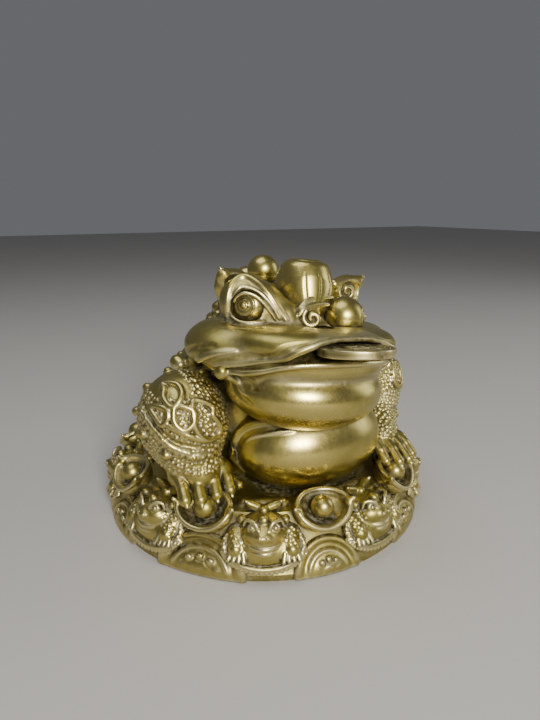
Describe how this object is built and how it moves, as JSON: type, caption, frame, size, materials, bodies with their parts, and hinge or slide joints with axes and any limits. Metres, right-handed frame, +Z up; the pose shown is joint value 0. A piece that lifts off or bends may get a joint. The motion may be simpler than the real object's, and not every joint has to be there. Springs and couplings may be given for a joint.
{
  "type": "brass money toad figurine",
  "caption": "Cast brass three-legged toad holding a coin in its mouth, on a round base of ingots, coins and small toads.",
  "frame": {"origin": "centre of the base's foot ring, on the surface it stands on", "axes": "+Z up, the toad faces -Y, its own left side is +X"},
  "size_m": [0.1753, 0.1845, 0.1359],
  "materials": {
    "brass_polished": "polished",
    "brass_skin": "satin",
    "brass_base": "satin, dusty recesses",
    "brass_coin": "satin",
    "steel": "plain"
  },
  "bodies": {
    "statue": {"belly": "brass_polished", "lower_jaw": "brass_polished", "upper_head": "brass_skin", "torso": "brass_skin", "right_foreleg": "brass_skin", "left_foreleg": "brass_skin", "hind_leg": "brass_skin", "right_eye": "brass_polished", "left_eye": "brass_polished", "right_ear": "brass_polished", "left_ear": "brass_polished", "forehead_boss": "brass_polished", "nose_scroll": "brass_polished", "spine_boss_1": "brass_polished", "spine_boss_2": "brass_polished", "spine_boss_3": "brass_polished", "spine_boss_4": "brass_polished", "spine_boss_5": "brass_polished", "base_casting": "brass_base", "base_toad_1": "brass_base", "base_toad_2": "brass_base", "base_toad_3": "brass_base", "base_toad_4": "brass_base", "base_toad_5": "brass_base", "base_toad_6": "brass_base", "base_toad_7": "brass_base", "base_toad_8": "brass_base", "base_toad_9": "brass_base", "ingot_1": "brass_base", "ingot_2": "brass_base", "ingot_3": "brass_base", "ingot_4": "brass_base", "ingot_5": "brass_base", "ingot_6": "brass_base", "ingot_7": "brass_base", "ingot_8": "brass_base", "ingot_9": "brass_base", "rim_coin_1": "brass_base", "rim_coin_2": "brass_base", "rim_coin_3": "brass_base", "rim_coin_4": "brass_base", "rim_coin_5": "brass_base", "rim_coin_6": "brass_base", "rim_coin_7": "brass_base", "rim_coin_8": "brass_base", "rim_coin_9": "brass_base", "screws": "steel", "washers": "steel"},
    "coin": {"mouth_coin": "brass_coin"}
  },
  "joints": [
    {"name": "coin_slide", "type": "slide", "parent": "statue", "child": "coin", "axis": [0, -0.9914, 0.1305], "range_m": [0, 0.045]}
  ]
}
